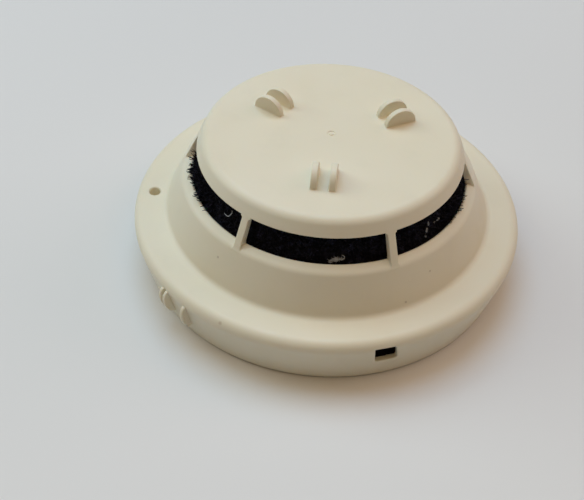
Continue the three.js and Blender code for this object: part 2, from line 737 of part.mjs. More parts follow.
function clampPlate() {
  const bottom = BASE_TOP + 2 * GAP + 0.6;
  const plate = block(-3.2, 3.2, -3.2, 3.2, bottom, bottom + 0.9);
  return shaped([plate], [rod(TERMINAL_HOLE_RADIUS, 0, 6, 0, 0, 12)]);
}

TERMINAL_ANGLES.forEach((angle, i) => {
  const number = i + 1;
  const place = station(angle);
  addTo(place, "spring_contact_" + number, "contact_metal", springContact());
  const plate = addTo(place, "clamp_plate_" + number, "spring_steel", clampPlate());
  plate.position.set(TERMINAL_PLACE, TERMINAL_SCREW_Y, 0);
  const screw = addTo(place, "terminal_screw_" + number, "contact_metal", panScrew(3.3, 2, 1.7, 3.9));
  screw.rotation.x = Math.PI;
  screw.position.set(TERMINAL_PLACE, TERMINAL_SCREW_Y, BASE_TOP + 3 * GAP + 1.5);
});

// ---- Release lever ----

// The lever stands behind the release slot and tips inwards on its pin when it is pressed.
function lockLever() {
  const x = LEVER_PIVOT_PLACE;
  const z = LEVER_PIVOT_HEIGHT;
  // The foot is narrow enough to pass between the ears, and the head above them covers the slot.
  const section = (bottom) =>
    roundedOutline([
      [x - 0.8, bottom],
      [x + 1, bottom],
      [x + 1, LEVER_TOP, 0.5],
      [x - 0.8, LEVER_TOP, 0.5],
    ]);
  const upright = standing(section(z), LEVER_WIDTH);
  const head = standing(section(LEVER_HEAD_BOTTOM), LEVER_HEAD_WIDTH);
  const radius = LEVER_BARREL_RADIUS;
  const barrel = new THREE.CylinderGeometry(radius, radius, LEVER_WIDTH, SMALL_SIDES);
  const bore = new THREE.CylinderGeometry(PIN_BORE_RADIUS, PIN_BORE_RADIUS, LEVER_WIDTH + 2, 12);
  return shaped([upright, head, barrel.translate(x, 0, z)], [bore.translate(x, 0, z)]);
}

const release = station(RELEASE_ANGLE);
addTo(release, "lock_lever", "black_plastic", lockLever());

const pin = new THREE.CylinderGeometry(PIN_RADIUS, PIN_RADIUS, PIN_LENGTH, 12);
const leverPin = addTo(release, "lever_pin", "spring_steel", pin);
leverPin.position.set(LEVER_PIVOT_PLACE, 0, LEVER_PIVOT_HEIGHT);

// A leaf spring: its foot lies on the base plate and its leaf leans on the lever's inner face.
function leverSpring() {
  const foot = BASE_TOP + GAP + 0.2;
  const line = [
    [52.8, foot],
    [53.7, foot],
    [54, foot + 0.3],
    [54.8, 9.4],
  ];
  return standing(stripOutline(line, 0.4), LEVER_WIDTH - 1);
}

addTo(release, "lever_spring", "spring_steel", leverSpring());

export default detector;
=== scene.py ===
import json
import math

import bmesh
import bpy
import numpy as np
from mathutils import Matrix, Vector


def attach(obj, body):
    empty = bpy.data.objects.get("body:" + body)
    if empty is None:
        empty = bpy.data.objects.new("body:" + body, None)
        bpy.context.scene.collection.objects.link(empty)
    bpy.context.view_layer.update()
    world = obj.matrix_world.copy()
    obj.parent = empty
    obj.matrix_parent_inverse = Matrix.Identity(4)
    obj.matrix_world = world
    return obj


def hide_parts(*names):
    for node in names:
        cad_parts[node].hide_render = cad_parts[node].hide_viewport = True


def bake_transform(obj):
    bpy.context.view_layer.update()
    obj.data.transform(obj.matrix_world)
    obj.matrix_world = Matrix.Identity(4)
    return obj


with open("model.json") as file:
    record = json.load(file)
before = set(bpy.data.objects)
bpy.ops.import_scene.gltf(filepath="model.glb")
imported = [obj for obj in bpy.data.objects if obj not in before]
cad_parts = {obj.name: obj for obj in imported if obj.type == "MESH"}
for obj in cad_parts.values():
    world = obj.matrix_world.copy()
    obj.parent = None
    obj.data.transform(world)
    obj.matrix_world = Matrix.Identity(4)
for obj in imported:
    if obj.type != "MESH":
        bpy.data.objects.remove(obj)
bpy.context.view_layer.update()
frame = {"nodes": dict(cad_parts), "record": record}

MM = 0.001
rng = np.random.default_rng(20)

# ---- Sizes of the cover, in millimetres, as in the CAD ----
FLANGE_RADIUS = 62.5
FLANGE_TOP = 18.3
EDGE_RADIUS = 3.0
FLANGE_THICKNESS = 1.9
WALL_LEAN = math.radians(13.8)
WALL_FOOT = 0.4
WALL = 1.4
CONE_FOOT_RADIUS = 52.0
SHOULDER = (46.4, 31.0)
SHOULDER_ROUNDING = 2.4
LEDGE = (43.2, 32.6)
RIM = (41.8, 40.3)
CAP_TOP = 45.5
CAP_TOP_RADIUS = 39.3
FIN_PLACE = 22.2
FIN_RADIUS = 5.1
FIN_THICKNESS = 1.9
FIN_SPACING = 5.5
FIN_PAIR_ANGLES = (-93, 27, 147)
RIB_ANGLES = (-63, -3, 57, 117, 177, 237)
RIB_WIDTH = 2.35
WALL_FIN_ANGLES = (-138.8, -136.9, -129.4)
WALL_FIN_HEIGHT = 10.6
WALL_FIN_HALF_LENGTH = 4.7
WALL_FIN_REACH = 2.4
WALL_FIN_THICKNESS = 1.2
RELEASE_ANGLE = -71.4
RELEASE_HALF_WIDTH = 3.2
RELEASE_BOTTOM = 8.8
RELEASE_TOP = 15.8
RECESS_ANGLE = -178.4
RECESS_PLACE = 56.4
RECESS_FLOOR = 14.4

# Radius at which the wall's line and the flange's top would meet if the edge weren't rounded.
WALL_CORNER = FLANGE_RADIUS - EDGE_RADIUS + EDGE_RADIUS / math.cos(WALL_LEAN)
WALL_CORNER += EDGE_RADIUS * math.tan(WALL_LEAN)

# ---- Small features that only the looks have, and the posts under the flange, in millimetres ----
POST_ANGLES = (90, 210, 330)
POST_PLACE = 50.0
POST_RADIUS = 3.0
POST_BOTTOM = 12.3
POST_BORE_RADIUS = 1.5
RECESS_CUP_RADIUS = 3.0
SMUDGE_PLACE = (-116.9, 62.0, 17.1)
NICK_ANGLE = 155.5
SLIT_ANGLE = -143.5
# Specks of dirt on the cone and the flange: angle, radius, height and size.
SPECKS = (
    (-129.2, 48.5, 26.1, 0.2),
    (-49.4, 48.6, 26.0, 0.14),
    (-60.6, 51.2, 20.2, 0.2),
    (-33.4, 62.4, 14.9, 0.2),
)


def wall_radius(height):
    """Outer radius of the side wall, with its rounded upper edge, at a height."""
    edge_start = FLANGE_TOP - EDGE_RADIUS * (1 + math.sin(WALL_LEAN))
    if height <= edge_start:
        return WALL_CORNER - (FLANGE_TOP - height) * math.tan(WALL_LEAN)
    rise = min(height - (FLANGE_TOP - EDGE_RADIUS), EDGE_RADIUS)
    return FLANGE_RADIUS - EDGE_RADIUS + math.sqrt(EDGE_RADIUS**2 - rise**2)


# ---- Mesh building ----


def make_object(name, points, faces):
    """An object from points in millimetres."""
    mesh = bpy.data.meshes.new(name)
    mesh.from_pydata([tuple(c * MM for c in p) for p in points], [], faces)
    mesh.update()
    made = bpy.data.objects.new(name, mesh)
    bpy.context.scene.collection.objects.link(made)
    return made


def merged(parts):
    """Several (points, faces) lists as one."""
    points, faces = [], []
    for some_points, some_faces in parts:
        start = len(points)
        points += list(some_points)
        faces += [[i + start for i in face] for face in some_faces]
    return points, faces


def moved(part, matrix):
    """The part with its points carried through a matrix."""
    points, faces = part
    return [matrix @ Vector(p) for p in points], faces


def carried(part, angle):
    """A part built on the +X side, carried round to an angle in degrees."""
    return moved(part, Matrix.Rotation(math.radians(angle), 4, "Z"))


def volume(part):
    """Six times the volume that the faces enclose, negative when they face inwards."""
    points, faces = part
    total = 0.0
    for face in faces:
        first = Vector(points[face[0]])
        for a, b in zip(face[1:], face[2:]):
            total += first.dot(Vector(points[a]).cross(Vector(points[b])))
    return total


def outward(part):
    """The part with its faces turned to face out."""
    points, faces = part
    return part if volume(part) > 0 else (points, [list(face)[::-1] for face in faces])


def loft(rings):
    """Closed rings of equal length joined by quads, with a face over each end."""
    count = len(rings[0])
    points = [p for ring in rings for p in ring]
    faces = [list(range(count))[::-1]]
    for k in range(len(rings) - 1):
        for i in range(count):
            j = (i + 1) % count
            faces.append([k * count + i, k * count + j, (k + 1) * count + j, (k + 1) * count + i])
    last = (len(rings) - 1) * count
    faces.append([last + i for i in range(count)])
    return outward((points, faces))


def eased_line(knots, steps, passes=3):
    """A line of evenly spaced steps through the knots, with its corners rounded off."""
    knots = np.array(knots)
    t = np.linspace(0, len(knots) - 1, steps)
    line = np.stack([np.interp(t, range(len(knots)), column) for column in knots.T], -1)
    for _ in range(passes):
        line[1:-1] = (line[:-2] + 2 * line[1:-1] + line[2:]) / 4
    return line


def rounded_outline(corners, step=9.0):
    """A closed outline from corners (across, up, rounding radius), with an arc point every step degrees."""
    outline = []
    for i, corner in enumerate(corners):
        here = Vector(corner[:2])
        radius = corner[2] if len(corner) > 2 else 0
        if not radius:
            outline.append(here)
            continue
        back = (Vector(corners[i - 1][:2]) - here).normalized()
        on = (Vector(corners[(i + 1) % len(corners)][:2]) - here).normalized()
        half = math.acos(max(-1, min(1, back.dot(on)))) / 2
        centre = here + (back + on).normalized() * radius / math.sin(half)
        first = here + back * radius / math.tan(half) - centre
        last = here + on * radius / math.tan(half) - centre
        turn = math.atan2(first.x * last.y - first.y * last.x, first.dot(last))
        steps = max(1, round(abs(math.degrees(turn)) / step))
        for k in range(steps + 1):
            outline.append(centre + Matrix.Rotation(turn * k / steps, 2) @ first)
    return outline


def with_support(outline, near=0.12, longest=3.0):
    """The outline with points close to the ends of each straight run, which keep its shading flat."""
    dense = []
    for i, start in enumerate(outline):
        end = outline[(i + 1) % len(outline)]
        dense.append(start)
        length = (end - start).length
        if length < 4 * near:
            continue
        along = (end - start) / length
        pieces = max(1, math.ceil((length - 2 * near) / longest))
        for k in range(pieces + 1):
            dense.append(start + along * (near + (length - 2 * near) * k / pieces))
    return dense


def revolved(outline, segments=240):
    """A closed outline of (radius, height) turned about the axis. Points on the axis become one point."""
    area = sum(a.x * b.y - b.x * a.y for a, b in zip(outline, outline[1:] + outline[:1]))
    outline = outline if area > 0 else outline[::-1]
    on_axis = 1e-6
    points, index = [], []
    for p in outline:
        if p.x < on_axis:
            index.append([len(points)] * segments)
            points.append((0, 0, p.y))
            continue
        index.append(list(range(len(points), len(points) + segments)))
        for k in range(segments):
            angle = 2 * math.pi * k / segments
            points.append((p.x * math.cos(angle), p.x * math.sin(angle), p.y))
    faces = []
    for a, b in zip(index, index[1:] + index[:1]):
        if a[0] == a[1] and b[0] == b[1]:
            continue
        for k in range(segments):
            m = (k + 1) % segments
            face = [a[k], a[m], b[m], b[k]]
            faces.append([v for i, v in enumerate(face) if v != face[i - 1]])
    return outward((points, faces))


def boolean(target, tool, operation):
    """Joins the tool to the target, or cuts it from the target, and deletes the tool."""
    modifier = target.modifiers.new("join", "BOOLEAN")
    modifier.operation = operation
    modifier.solver = "EXACT"
    modifier.object = tool
    bpy.context.view_layer.update()
    shape = target.evaluated_get(bpy.context.evaluated_depsgraph_get())
    result = bpy.data.meshes.new_from_object(shape)
    target.modifiers.clear()
    target.data = result
    bpy.data.objects.remove(tool)


def finish_surface(made, sharp_degrees=32, weld=0.00001):
    """Welds stray doubles, and shades smoothly except over edges sharper than the angle."""
    shape = bmesh.new()
    shape.from_mesh(made.data)
    bmesh.ops.remove_doubles(shape, verts=shape.verts, dist=weld)
    bmesh.ops.dissolve_degenerate(shape, dist=weld / 2, edges=shape.edges)
    bmesh.ops.recalc_face_normals(shape, faces=shape.faces)
    for face in shape.faces:
        face.smooth = True
    for edge in shape.edges:
        edge.smooth = len(edge.link_faces) == 2 and edge.calc_face_angle(0) < math.radians(sharp_degrees)
    shape.to_mesh(made.data)
    shape.free()


def place(made, body, replaced, material):
    """Everything that a finished piece has to say about itself."""
    made.data.materials.clear()
    made.data.materials.append(material)
    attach(made, body)
    if replaced:
        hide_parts(*replaced)
    return made


# ---- Materials ----


class Nodes:
    """A small helper that adds nodes to a material and links them."""

    def __init__(self, name):
        self.material = bpy.data.materials.new(name)
        self.material.use_nodes = True
        self.tree = self.material.node_tree
        self.shader = self.tree.nodes["Principled BSDF"]
        self.place = self.add("ShaderNodeTexCoord").outputs["Object"]

    def add(self, kind, **settings):
        """A new node, with its own settings such as operation or data_type."""
        node = self.tree.nodes.new(kind)
        for name, value in settings.items():
            setattr(node, name, value)
        return node

    def link(self, source, target):
        self.tree.links.new(source, target)

    def noise(self, scale, detail=3.0, roughness=0.5):
        """Soft noise from 0 to 1, with scale in bumps for each metre."""
        node = self.add("ShaderNodeTexNoise")
        node.inputs["Scale"].default_value = scale
        node.inputs["Detail"].default_value = detail
        node.inputs["Roughness"].default_value = roughness
        self.link(self.place, node.inputs["Vector"])
        return node.outputs["Fac"]

    def span(self, value, low, high, to_low=0.0, to_high=1.0):
        """The value carried from one range to another, and held at its ends."""
        node = self.add("ShaderNodeMapRange")
        limits = {"From Min": low, "From Max": high, "To Min": to_low, "To Max": to_high}
        for name, number in limits.items():
            node.inputs[name].default_value = number
        self.link(value, node.inputs["Value"])
        return node.outputs["Result"]

    def spot(self, centre, radius, softness):
        """1 within a radius of a point given in millimetres, falling to 0 over the softness."""
        node = self.add("ShaderNodeVectorMath", operation="DISTANCE")
        self.link(self.place, node.inputs[0])
        node.inputs[1].default_value = [c * MM for c in centre]
        return self.span(node.outputs["Value"], radius * MM, (radius + softness) * MM, 1.0, 0.0)

    def mix(self, factor, first, second):
        """A colour between two, each given as three numbers or as another node's output."""
        factor_input, first_input, second_input, colour_output = 0, 6, 7, 2
        node = self.add("ShaderNodeMix", data_type="RGBA")
        self.link(factor, node.inputs[factor_input])
        for socket, value in ((node.inputs[first_input], first), (node.inputs[second_input], second)):
            if isinstance(value, bpy.types.NodeSocket):
                self.link(value, socket)
            else:
                socket.default_value = (*value, 1.0)
        return node.outputs[colour_output]

    def bump(self, height, distance, strength, normal=None):
        """A bumped normal, with distance in metres, over another bump where one is given."""
        node = self.add("ShaderNodeBump")
        node.inputs["Strength"].default_value = strength
        node.inputs["Distance"].default_value = distance
        self.link(height, node.inputs["Height"])
        if normal is not None:
            self.link(normal, node.inputs["Normal"])
        return node.outputs["Normal"]

    def set(self, **sockets):
        """Sets or links the shader's own sockets."""
        for name, value in sockets.items():
            socket = self.shader.inputs[name.replace("_", " ")]
            if isinstance(value, bpy.types.NodeSocket):
                self.link(value, socket)
            else:
                socket.default_value = value


IVORY = (0.80, 0.742, 0.592)
IVORY_AGED = (0.775, 0.705, 0.54)
GREASY_FILM = (0.62, 0.57, 0.46)
DIRT = (0.56, 0.48, 0.36)
SMUDGE = (0.58, 0.47, 0.34)


def around_the_axis(angle, radius, height):
    """A point at an angle in degrees about the axis."""
    return (radius * math.cos(math.radians(angle)), radius * math.sin(math.radians(angle)), height)


def ivory_material():
    """Satin ivory moulding: slightly uneven yellowing, fine moulded grain, and a few specks of dirt."""
    n = Nodes("ivory_plastic")
    aged = n.span(n.noise(22, 2.0), 0.35, 0.7)
    colour = n.mix(aged, IVORY, IVORY_AGED)
    film = n.span(n.noise(90, 5.0, 0.65), 0.52, 0.8, 0.0, 0.16)
    colour = n.mix(film, colour, GREASY_FILM)
    for angle, radius, height, size in SPECKS:
        speck = n.spot(around_the_axis(angle, radius, height), size, 0.3)
        colour = n.mix(speck, colour, DIRT)
    smudge = n.spot(around_the_axis(*SMUDGE_PLACE), 0.0, 0.8)
    colour = n.mix(smudge, colour, SMUDGE)
    n.set(Base_Color=colour)
    n.set(Roughness=n.span(n.noise(140, 4.0), 0.3, 0.7, 0.42, 0.56))
    grain = n.bump(n.noise(2600, 2.0), 0.00002, 0.5)
    n.set(Normal=n.bump(n.noise(60, 2.0), 0.00012, 0.5, grain))
    n.set(Subsurface_Weight=0.12, Subsurface_Scale=0.0016, Subsurface_Radius=(1.0, 0.62, 0.35), IOR=1.5)
    return n.material


def foam_material():
    """Near-black foam, with cells here and there that catch a bluish light."""
    n = Nodes("black_foam")
    lit_cells = n.span(n.noise(620, 3.0), 0.5, 0.78)
    n.set(Base_Color=n.mix(lit_cells, (0.0010, 0.0008, 0.0040), (0.034, 0.036, 0.075)))
    n.set(Roughness=0.7, Specular_IOR_Level=0.2)
    n.set(Normal=n.bump(n.noise(3000, 3.0), 0.00012, 0.8))
    return n.material


def lint_material():
    """Dull grey fibres, paler in places."""
    n = Nodes("lint")
    n.set(Base_Color=n.mix(n.noise(700, 1.0), (0.24, 0.25, 0.27), (0.54, 0.55, 0.57)))
    n.set(Roughness=0.85)
    return n.material


def moulded_material(name, colour, light, roughness=0.5, grain=0.00004):
    """A moulded plastic or epoxy: two shades of one colour under a fine grain."""
    n = Nodes(name)
    n.set(Base_Color=n.mix(n.span(n.noise(160, 4.0), 0.35, 0.7), colour, light))
    n.set(Roughness=n.span(n.noise(260, 3.0), 0.3, 0.7, roughness - 0.06, roughness + 0.08))
    n.set(Normal=n.bump(n.noise(2400, 2.0), grain, 0.6))
    return n.material


def metal_material(name, colour, tarnish, roughness):
    """Sheet or wire of one metal, with tarnish in patches."""
    n = Nodes(name)
    n.set(Base_Color=n.mix(n.span(n.noise(420, 4.0), 0.45, 0.75), colour, tarnish), Metallic=1.0)
    n.set(Roughness=n.span(n.noise(900, 3.0), 0.3, 0.7, roughness - 0.08, roughness + 0.1))
    n.set(Normal=n.bump(n.noise(1800, 2.0), 0.00002, 0.5))
    return n.material


def board_material():
    """Green solder mask over copper tracks that show as slightly lighter lines."""
    n = Nodes("circuit_board")
    brick = n.add("ShaderNodeTexBrick")
    brick.inputs["Scale"].default_value = 260
    brick.inputs["Mortar Size"].default_value = 0.05
    n.link(n.place, brick.inputs["Vector"])
    n.set(Base_Color=n.mix(brick.outputs["Fac"], (0.012, 0.085, 0.03), (0.03, 0.16, 0.06)))
    n.set(Roughness=0.32, Normal=n.bump(brick.outputs["Fac"], 0.00003, 0.6))
    return n.material


def clear_material():
    """The clear, slightly bluish body of a light-emitting diode."""
    n = Nodes("clear_plastic")
    n.set(Base_Color=n.mix(n.noise(300, 2.0), (0.75, 0.8, 0.85), (0.86, 0.9, 0.94)))
    n.set(Roughness=n.span(n.noise(500, 2.0), 0.3, 0.7, 0.06, 0.14), Transmission_Weight=0.85, IOR=1.5)
    return n.material


def table_material():
    """A matt pale grey surface, very slightly uneven."""
    n = Nodes("table_top")
    uneven = n.span(n.noise(3.0, 2.0), 0.3, 0.7)
    n.set(Base_Color=n.mix(uneven, (0.728, 0.727, 0.726), (0.748, 0.747, 0.746)))
    n.set(Roughness=0.55, Specular_IOR_Level=0.3)
    return n.material


FINE_GRAIN = 0.00001

materials = {
    "ivory_plastic": ivory_material(),
    "black_foam": foam_material(),
    "circuit_board": board_material(),
    "clear_plastic": clear_material(),
}
for name, *looks in (
    ("black_plastic", (0.012, 0.012, 0.015), (0.025, 0.025, 0.03)),
    ("base_plastic", (0.74, 0.70, 0.58), (0.80, 0.76, 0.65), 0.55),
    ("component_black", (0.010, 0.010, 0.011), (0.03, 0.03, 0.032), 0.4),
    ("component_blue", (0.01, 0.03, 0.16), (0.02, 0.05, 0.22), 0.3, FINE_GRAIN),
):
    materials[name] = moulded_material(name, *looks)
for name, *looks in (
    ("contact_metal", (0.74, 0.71, 0.64), (0.5, 0.46, 0.38), 0.3),
    ("spring_steel", (0.56, 0.57, 0.6), (0.4, 0.41, 0.43), 0.34),
):
    materials[name] = metal_material(name, *looks)

for subpart in frame["record"]["subparts"]:
    node = frame["nodes"][subpart["node"]]
    node.data.materials.clear()
    node.data.materials.append(materials[subpart["material_slot"]])


# ---- Outer cover ----


def cover_ring():
    """The side wall, the flange, the cone and the ledge under the foam, as one thin moulding."""
    underside = FLANGE_TOP - FLANGE_THICKNESS
    corners = [
        (wall_radius(WALL_FOOT) - WALL, WALL_FOOT, 0.3),
        (wall_radius(WALL_FOOT), WALL_FOOT, 0.8),
        (WALL_CORNER, FLANGE_TOP, EDGE_RADIUS),
        (CONE_FOOT_RADIUS, FLANGE_TOP, 2.0),
        (*SHOULDER, SHOULDER_ROUNDING),
        (*LEDGE, 0.7),
        (LEDGE[0] - 0.3, LEDGE[1] - 2.0, 0.2),
        (SHOULDER[0] - 1.8, SHOULDER[1] - 1.0, 0.4),
        (CONE_FOOT_RADIUS - 1.35, underside, 1.0),
        (wall_radius(underside) - WALL, underside, 1.2),
    ]
    return revolved(with_support(rounded_outline(corners)))


def cover_cap():
    """The flat cap with its rounded edge and its short skirt."""
    corners = [
        (0, CAP_TOP),
        (CAP_TOP_RADIUS, CAP_TOP, 3.2),
        (*RIM, 0.5),
        (RIM[0] - 2.1, RIM[1], 0.3),
        (CAP_TOP_RADIUS - 1.7, CAP_TOP - 2.0, 1.2),
        (0, CAP_TOP - 2.0),
    ]
    return revolved(with_support(rounded_outline(corners)))


def shoulder_height(radius):
    """Height of the cover's outer surface from the ledge, over the rounded shoulder, to the cone."""
    ledge = math.atan2(LEDGE[1] - SHOULDER[1], SHOULDER[0] - LEDGE[0])
    cone = math.atan2(SHOULDER[1] - FLANGE_TOP, CONE_FOOT_RADIUS - SHOULDER[0])
    tangent = SHOULDER_ROUNDING * math.tan((cone - ledge) / 2)
    arc_start = SHOULDER[0] - tangent * math.cos(ledge)
    arc_end = SHOULDER[0] + tangent * math.cos(cone)
    if radius <= arc_start:
        return SHOULDER[1] + (SHOULDER[0] - radius) * math.tan(ledge)
    if radius >= arc_end:
        return SHOULDER[1] - (radius - SHOULDER[0]) * math.tan(cone)
    centre_radius = arc_start - SHOULDER_ROUNDING * math.sin(ledge)
    centre_height = SHOULDER[1] + tangent * math.sin(ledge) - SHOULDER_ROUNDING * math.cos(ledge)
    return centre_height + math.sqrt(SHOULDER_ROUNDING**2 - (radius - centre_radius) ** 2)


def along_the_sides(outline, pieces=8):
    """A rounded rectangle's outline with points along its two long sides."""
    quarter = len(outline) // 4
    dense = []
    for i, start in enumerate(outline):
        end = outline[(i + 1) % len(outline)]
        dense.append(start)
        if i in (quarter - 1, 3 * quarter - 1):
            dense += [start + (end - start) * k / pieces for k in range(1, pieces)]
    return dense


def flare_width(flare, distance):
    """How much wider a fillet of radius flare is at a distance from the surface that it rises from."""
    left = max(0.0, flare - max(0.0, distance))
    return flare - math.sqrt(max(0.0, flare**2 - left**2))


def rib():
    """A rib from the shoulder to the cap's rim, flush with the cone and the skirt, flared at both ends."""
    foot_inner, foot_outer = 42.8, 46.35
    top_inner, top_outer = 39.8, RIM[0] - 0.02
    flare, outer_edge, inner_edge, buried = 0.6, 0.3, 0.2, 0.6
    span = RIM[1] - LEDGE[1]
    inner_half = RIB_WIDTH / 2
    near_end = [flare * (k / 7) ** 1.5 for k in range(8)]
    steps = [-buried, *near_end, 0.5 * span, *[span - s for s in reversed(near_end)], span + buried]
    rings = []
    for rise in steps:
        wider = flare_width(flare, min(rise, span - rise))
        half = inner_half + wider
        outer = foot_outer + (0.5 * wider if rise < span / 2 else 0.0)
        corners = [
            (foot_inner, -inner_half, inner_edge),
            (outer, -half, outer_edge),
            (outer, half, outer_edge),
            (foot_inner, inner_half, inner_edge),
        ]
        ring = []
        for p in along_the_sides(rounded_outline(corners, 30)):
            across = (p.x - foot_inner) / (foot_outer - foot_inner)
            share = max(0.0, rise / span)
            top = top_inner + (top_outer - top_inner) * across
            foot = shoulder_height(p.x) + min(0.0, rise)
            ring.append((p.x + (top - p.x) * share, p.y, foot + (RIM[1] - foot) * share))
        rings.append(ring)
    return loft(rings)


def plate_fin(reach, half_length, thickness, buried=0.6, edge=0.28, steps=28):
    """A half-disc or half-ellipse plate with a rounded rim: x along its length, z the way that it stands."""
    quarter_turn = np.linspace(math.pi / 2, 0, 5)
    layers = [(edge * (1 - math.sin(t)) - thickness / 2, edge * (1 - math.cos(t))) for t in quarter_turn]
    layers += [(-y, inset) for y, inset in reversed(layers)]
    rings = []
    for y, inset in layers:
        length, height = half_length - inset, reach - inset
        arc = [(length * math.cos(t), y, height * math.sin(t)) for t in np.linspace(0, math.pi, steps + 1)]
        rings.append(arc + [(-length, y, -buried), (length, y, -buried)])
    return loft(rings)


def rounded_box(left, bottom, right, top, rounding, step=30):
    """A rectangle's outline with all four corners rounded alike."""
    corners = [(left, bottom), (right, bottom), (right, top), (left, top)]
    return rounded_outline([(x, y, rounding) for x, y in corners], step)


def foot_flare(half_length, thickness, flare=0.45, rounding=0.35, clear=0.01):
    """The small fillet round the foot of a plate fin."""
    rings = []
    for rise in (-0.3, 0.0, 0.06, 0.13, 0.22, 0.32, flare + 0.03):
        out = flare_width(flare, rise) + clear
        length, width = half_length + out, thickness / 2 + out
        section = rounded_box(-length, -width, length, width, rounding)
        rings.append([(p.x, p.y, rise) for p in section])
    return loft(rings)


def on_cap(part, pair_angle, side):
    """A part stood on the cap as one half of a pair of fins, with side -1 or 1."""
    shifted = moved(part, Matrix.Translation((FIN_PLACE, side * FIN_SPACING / 2, CAP_TOP)))
    return carried(shifted, pair_angle)


def on_wall(part, angle, height):
    """A plate built on the XY plane, stood on the leaning wall with its length up the wall."""
    upright = Matrix.Rotation(WALL_LEAN, 4, "Y") @ Matrix.Rotation(math.radians(90), 4, "Y")
    stood = moved(part, Matrix.Translation((wall_radius(height), 0, height)) @ upright)
    return carried(stood, angle)


def rod(radius, bottom, top, x, sides=32):
    """An upright rod whose axis stands at a distance x from the detector's own."""
    turns = [2 * math.pi * k / sides for k in range(sides)]
    ring = [(x + radius * math.cos(turn), radius * math.sin(turn)) for turn in turns]
    return loft([[(px, py, z) for px, py in ring] for z in (bottom, top)])


def release_cutter():
    """The hole of the release slot, flared where it meets the outside of the wall."""
    flare = 0.4
    foot_shift, foot_widening = 1.3, 0.08
    low, high, half = RELEASE_BOTTOM, RELEASE_TOP, RELEASE_HALF_WIDTH
    rings = []
    for depth in (-1.2, -0.05, 0.04, 0.1, 0.18, 0.28, flare, 6.0):
        out = flare_width(flare, depth)
        corners = [
            (-half - out, low - out, 0.5),
            (half + out, low - out, 1.3),
            (half + out, high + out, 0.5),
            (-half - out, high + out, 0.35),
        ]
        ring = []
        for p in rounded_outline(corners, 12):
            p.x += (foot_shift + foot_widening * p.x) * (high - p.y) / (high - low)
            surface = wall_radius(p.y) - p.x**2 / (2 * FLANGE_RADIUS)
            ring.append((surface - depth, p.x, p.y))
        rings.append(ring)
    return carried(loft(rings), RELEASE_ANGLE)


def recess_cutter():
    """The round recess in the flange, with a rounded mouth and a slightly dished floor."""
    bore, mouth, above = 1.8, 2.2, FLANGE_TOP + 1
    corners = [
        (0, RECESS_FLOOR - 0.15),
        (1.4, RECESS_FLOOR, 0.2),
        (bore, RECESS_FLOOR + 0.3, 0.2),
        (bore, FLANGE_TOP - 0.3, 0.3),
        (mouth, FLANGE_TOP + 0.05),
        (mouth, above),
        (0, above),
    ]
    part = revolved(rounded_outline(corners, 20), 48)
    return carried(moved(part, Matrix.Translation((RECESS_PLACE, 0, 0))), RECESS_ANGLE)


def gate_mark_cutter():
    """The ring that the moulding gate left in the middle of the cap."""
    corners = [
        (0.75, CAP_TOP - 0.22, 0.15),
        (1.25, CAP_TOP - 0.2, 0.15),
        (1.4, CAP_TOP + 0.2),
        (0.6, CAP_TOP + 0.2),
    ]
    return revolved(rounded_outline(corners, 30), 40)


def nick_cutter():
    """A small nick in the cap's edge."""
    radius, half_length, place_out, height = 0.32, 1.1, 40.75, 42.4
    lying = moved(rod(radius, -half_length, half_length, 0, 12), Matrix.Rotation(math.radians(90), 4, "X"))
    return carried(moved(lying, Matrix.Translation((place_out, 0, height))), NICK_ANGLE)


def slit_cutter():
    """A fine slit in the side wall."""
    half_width, bottom, top = 0.13, 12.1, 13.9
    corners = [(-half_width, bottom), (half_width, bottom), (half_width, top), (-half_width, top)]
    return carried(loft([[(x, y, z) for y, z in corners] for x in (61.4, 63.5)]), SLIT_ANGLE)


def outer_cover():
    """The whole moulding: shell, ribs, fins and posts joined, then slot, recess, marks and bores cut."""
    body = make_object("cover_shell", *merged([cover_ring(), cover_cap()]))
    fin = plate_fin(FIN_RADIUS, FIN_RADIUS, FIN_THICKNESS)
    fin_foot = foot_flare(FIN_RADIUS, FIN_THICKNESS)
    wall_fin = plate_fin(WALL_FIN_REACH, WALL_FIN_HALF_LENGTH, WALL_FIN_THICKNESS)
    post = rod(POST_RADIUS, POST_BOTTOM, FLANGE_TOP - 0.4, POST_PLACE)
    post_bore = rod(POST_BORE_RADIUS, POST_BOTTOM - 0.3, FLANGE_TOP - 1.4, POST_PLACE, 20)
    recess_cup = rod(RECESS_CUP_RADIUS, RECESS_FLOOR - 1.6, FLANGE_TOP - 1.0, RECESS_PLACE)
    fin_places = [(angle, side) for angle in FIN_PAIR_ANGLES for side in (-1, 1)]

    added = [carried(rib(), angle) for angle in RIB_ANGLES]
    added += [on_cap(fin, angle, side) for angle, side in fin_places]
    added += [on_wall(wall_fin, angle, WALL_FIN_HEIGHT) for angle in WALL_FIN_ANGLES]
    added += [carried(post, angle) for angle in POST_ANGLES]
    added.append(carried(recess_cup, RECESS_ANGLE))
    boolean(body, make_object("added", *merged(added)), "UNION")
    flares = [on_cap(fin_foot, angle, side) for angle, side in fin_places]
    boolean(body, make_object("flares", *merged(flares)), "UNION")

    cutters = [release_cutter(), recess_cutter(), gate_mark_cutter(), nick_cutter(), slit_cutter()]
    cutters += [carried(post_bore, angle) for angle in POST_ANGLES]
    boolean(body, make_object("cutters", *merged(cutters)), "DIFFERENCE")
    finish_surface(body)
    return body


place(outer_cover(), "head", ["outer_cover"], materials["ivory_plastic"])


# ---- Foam screen ----

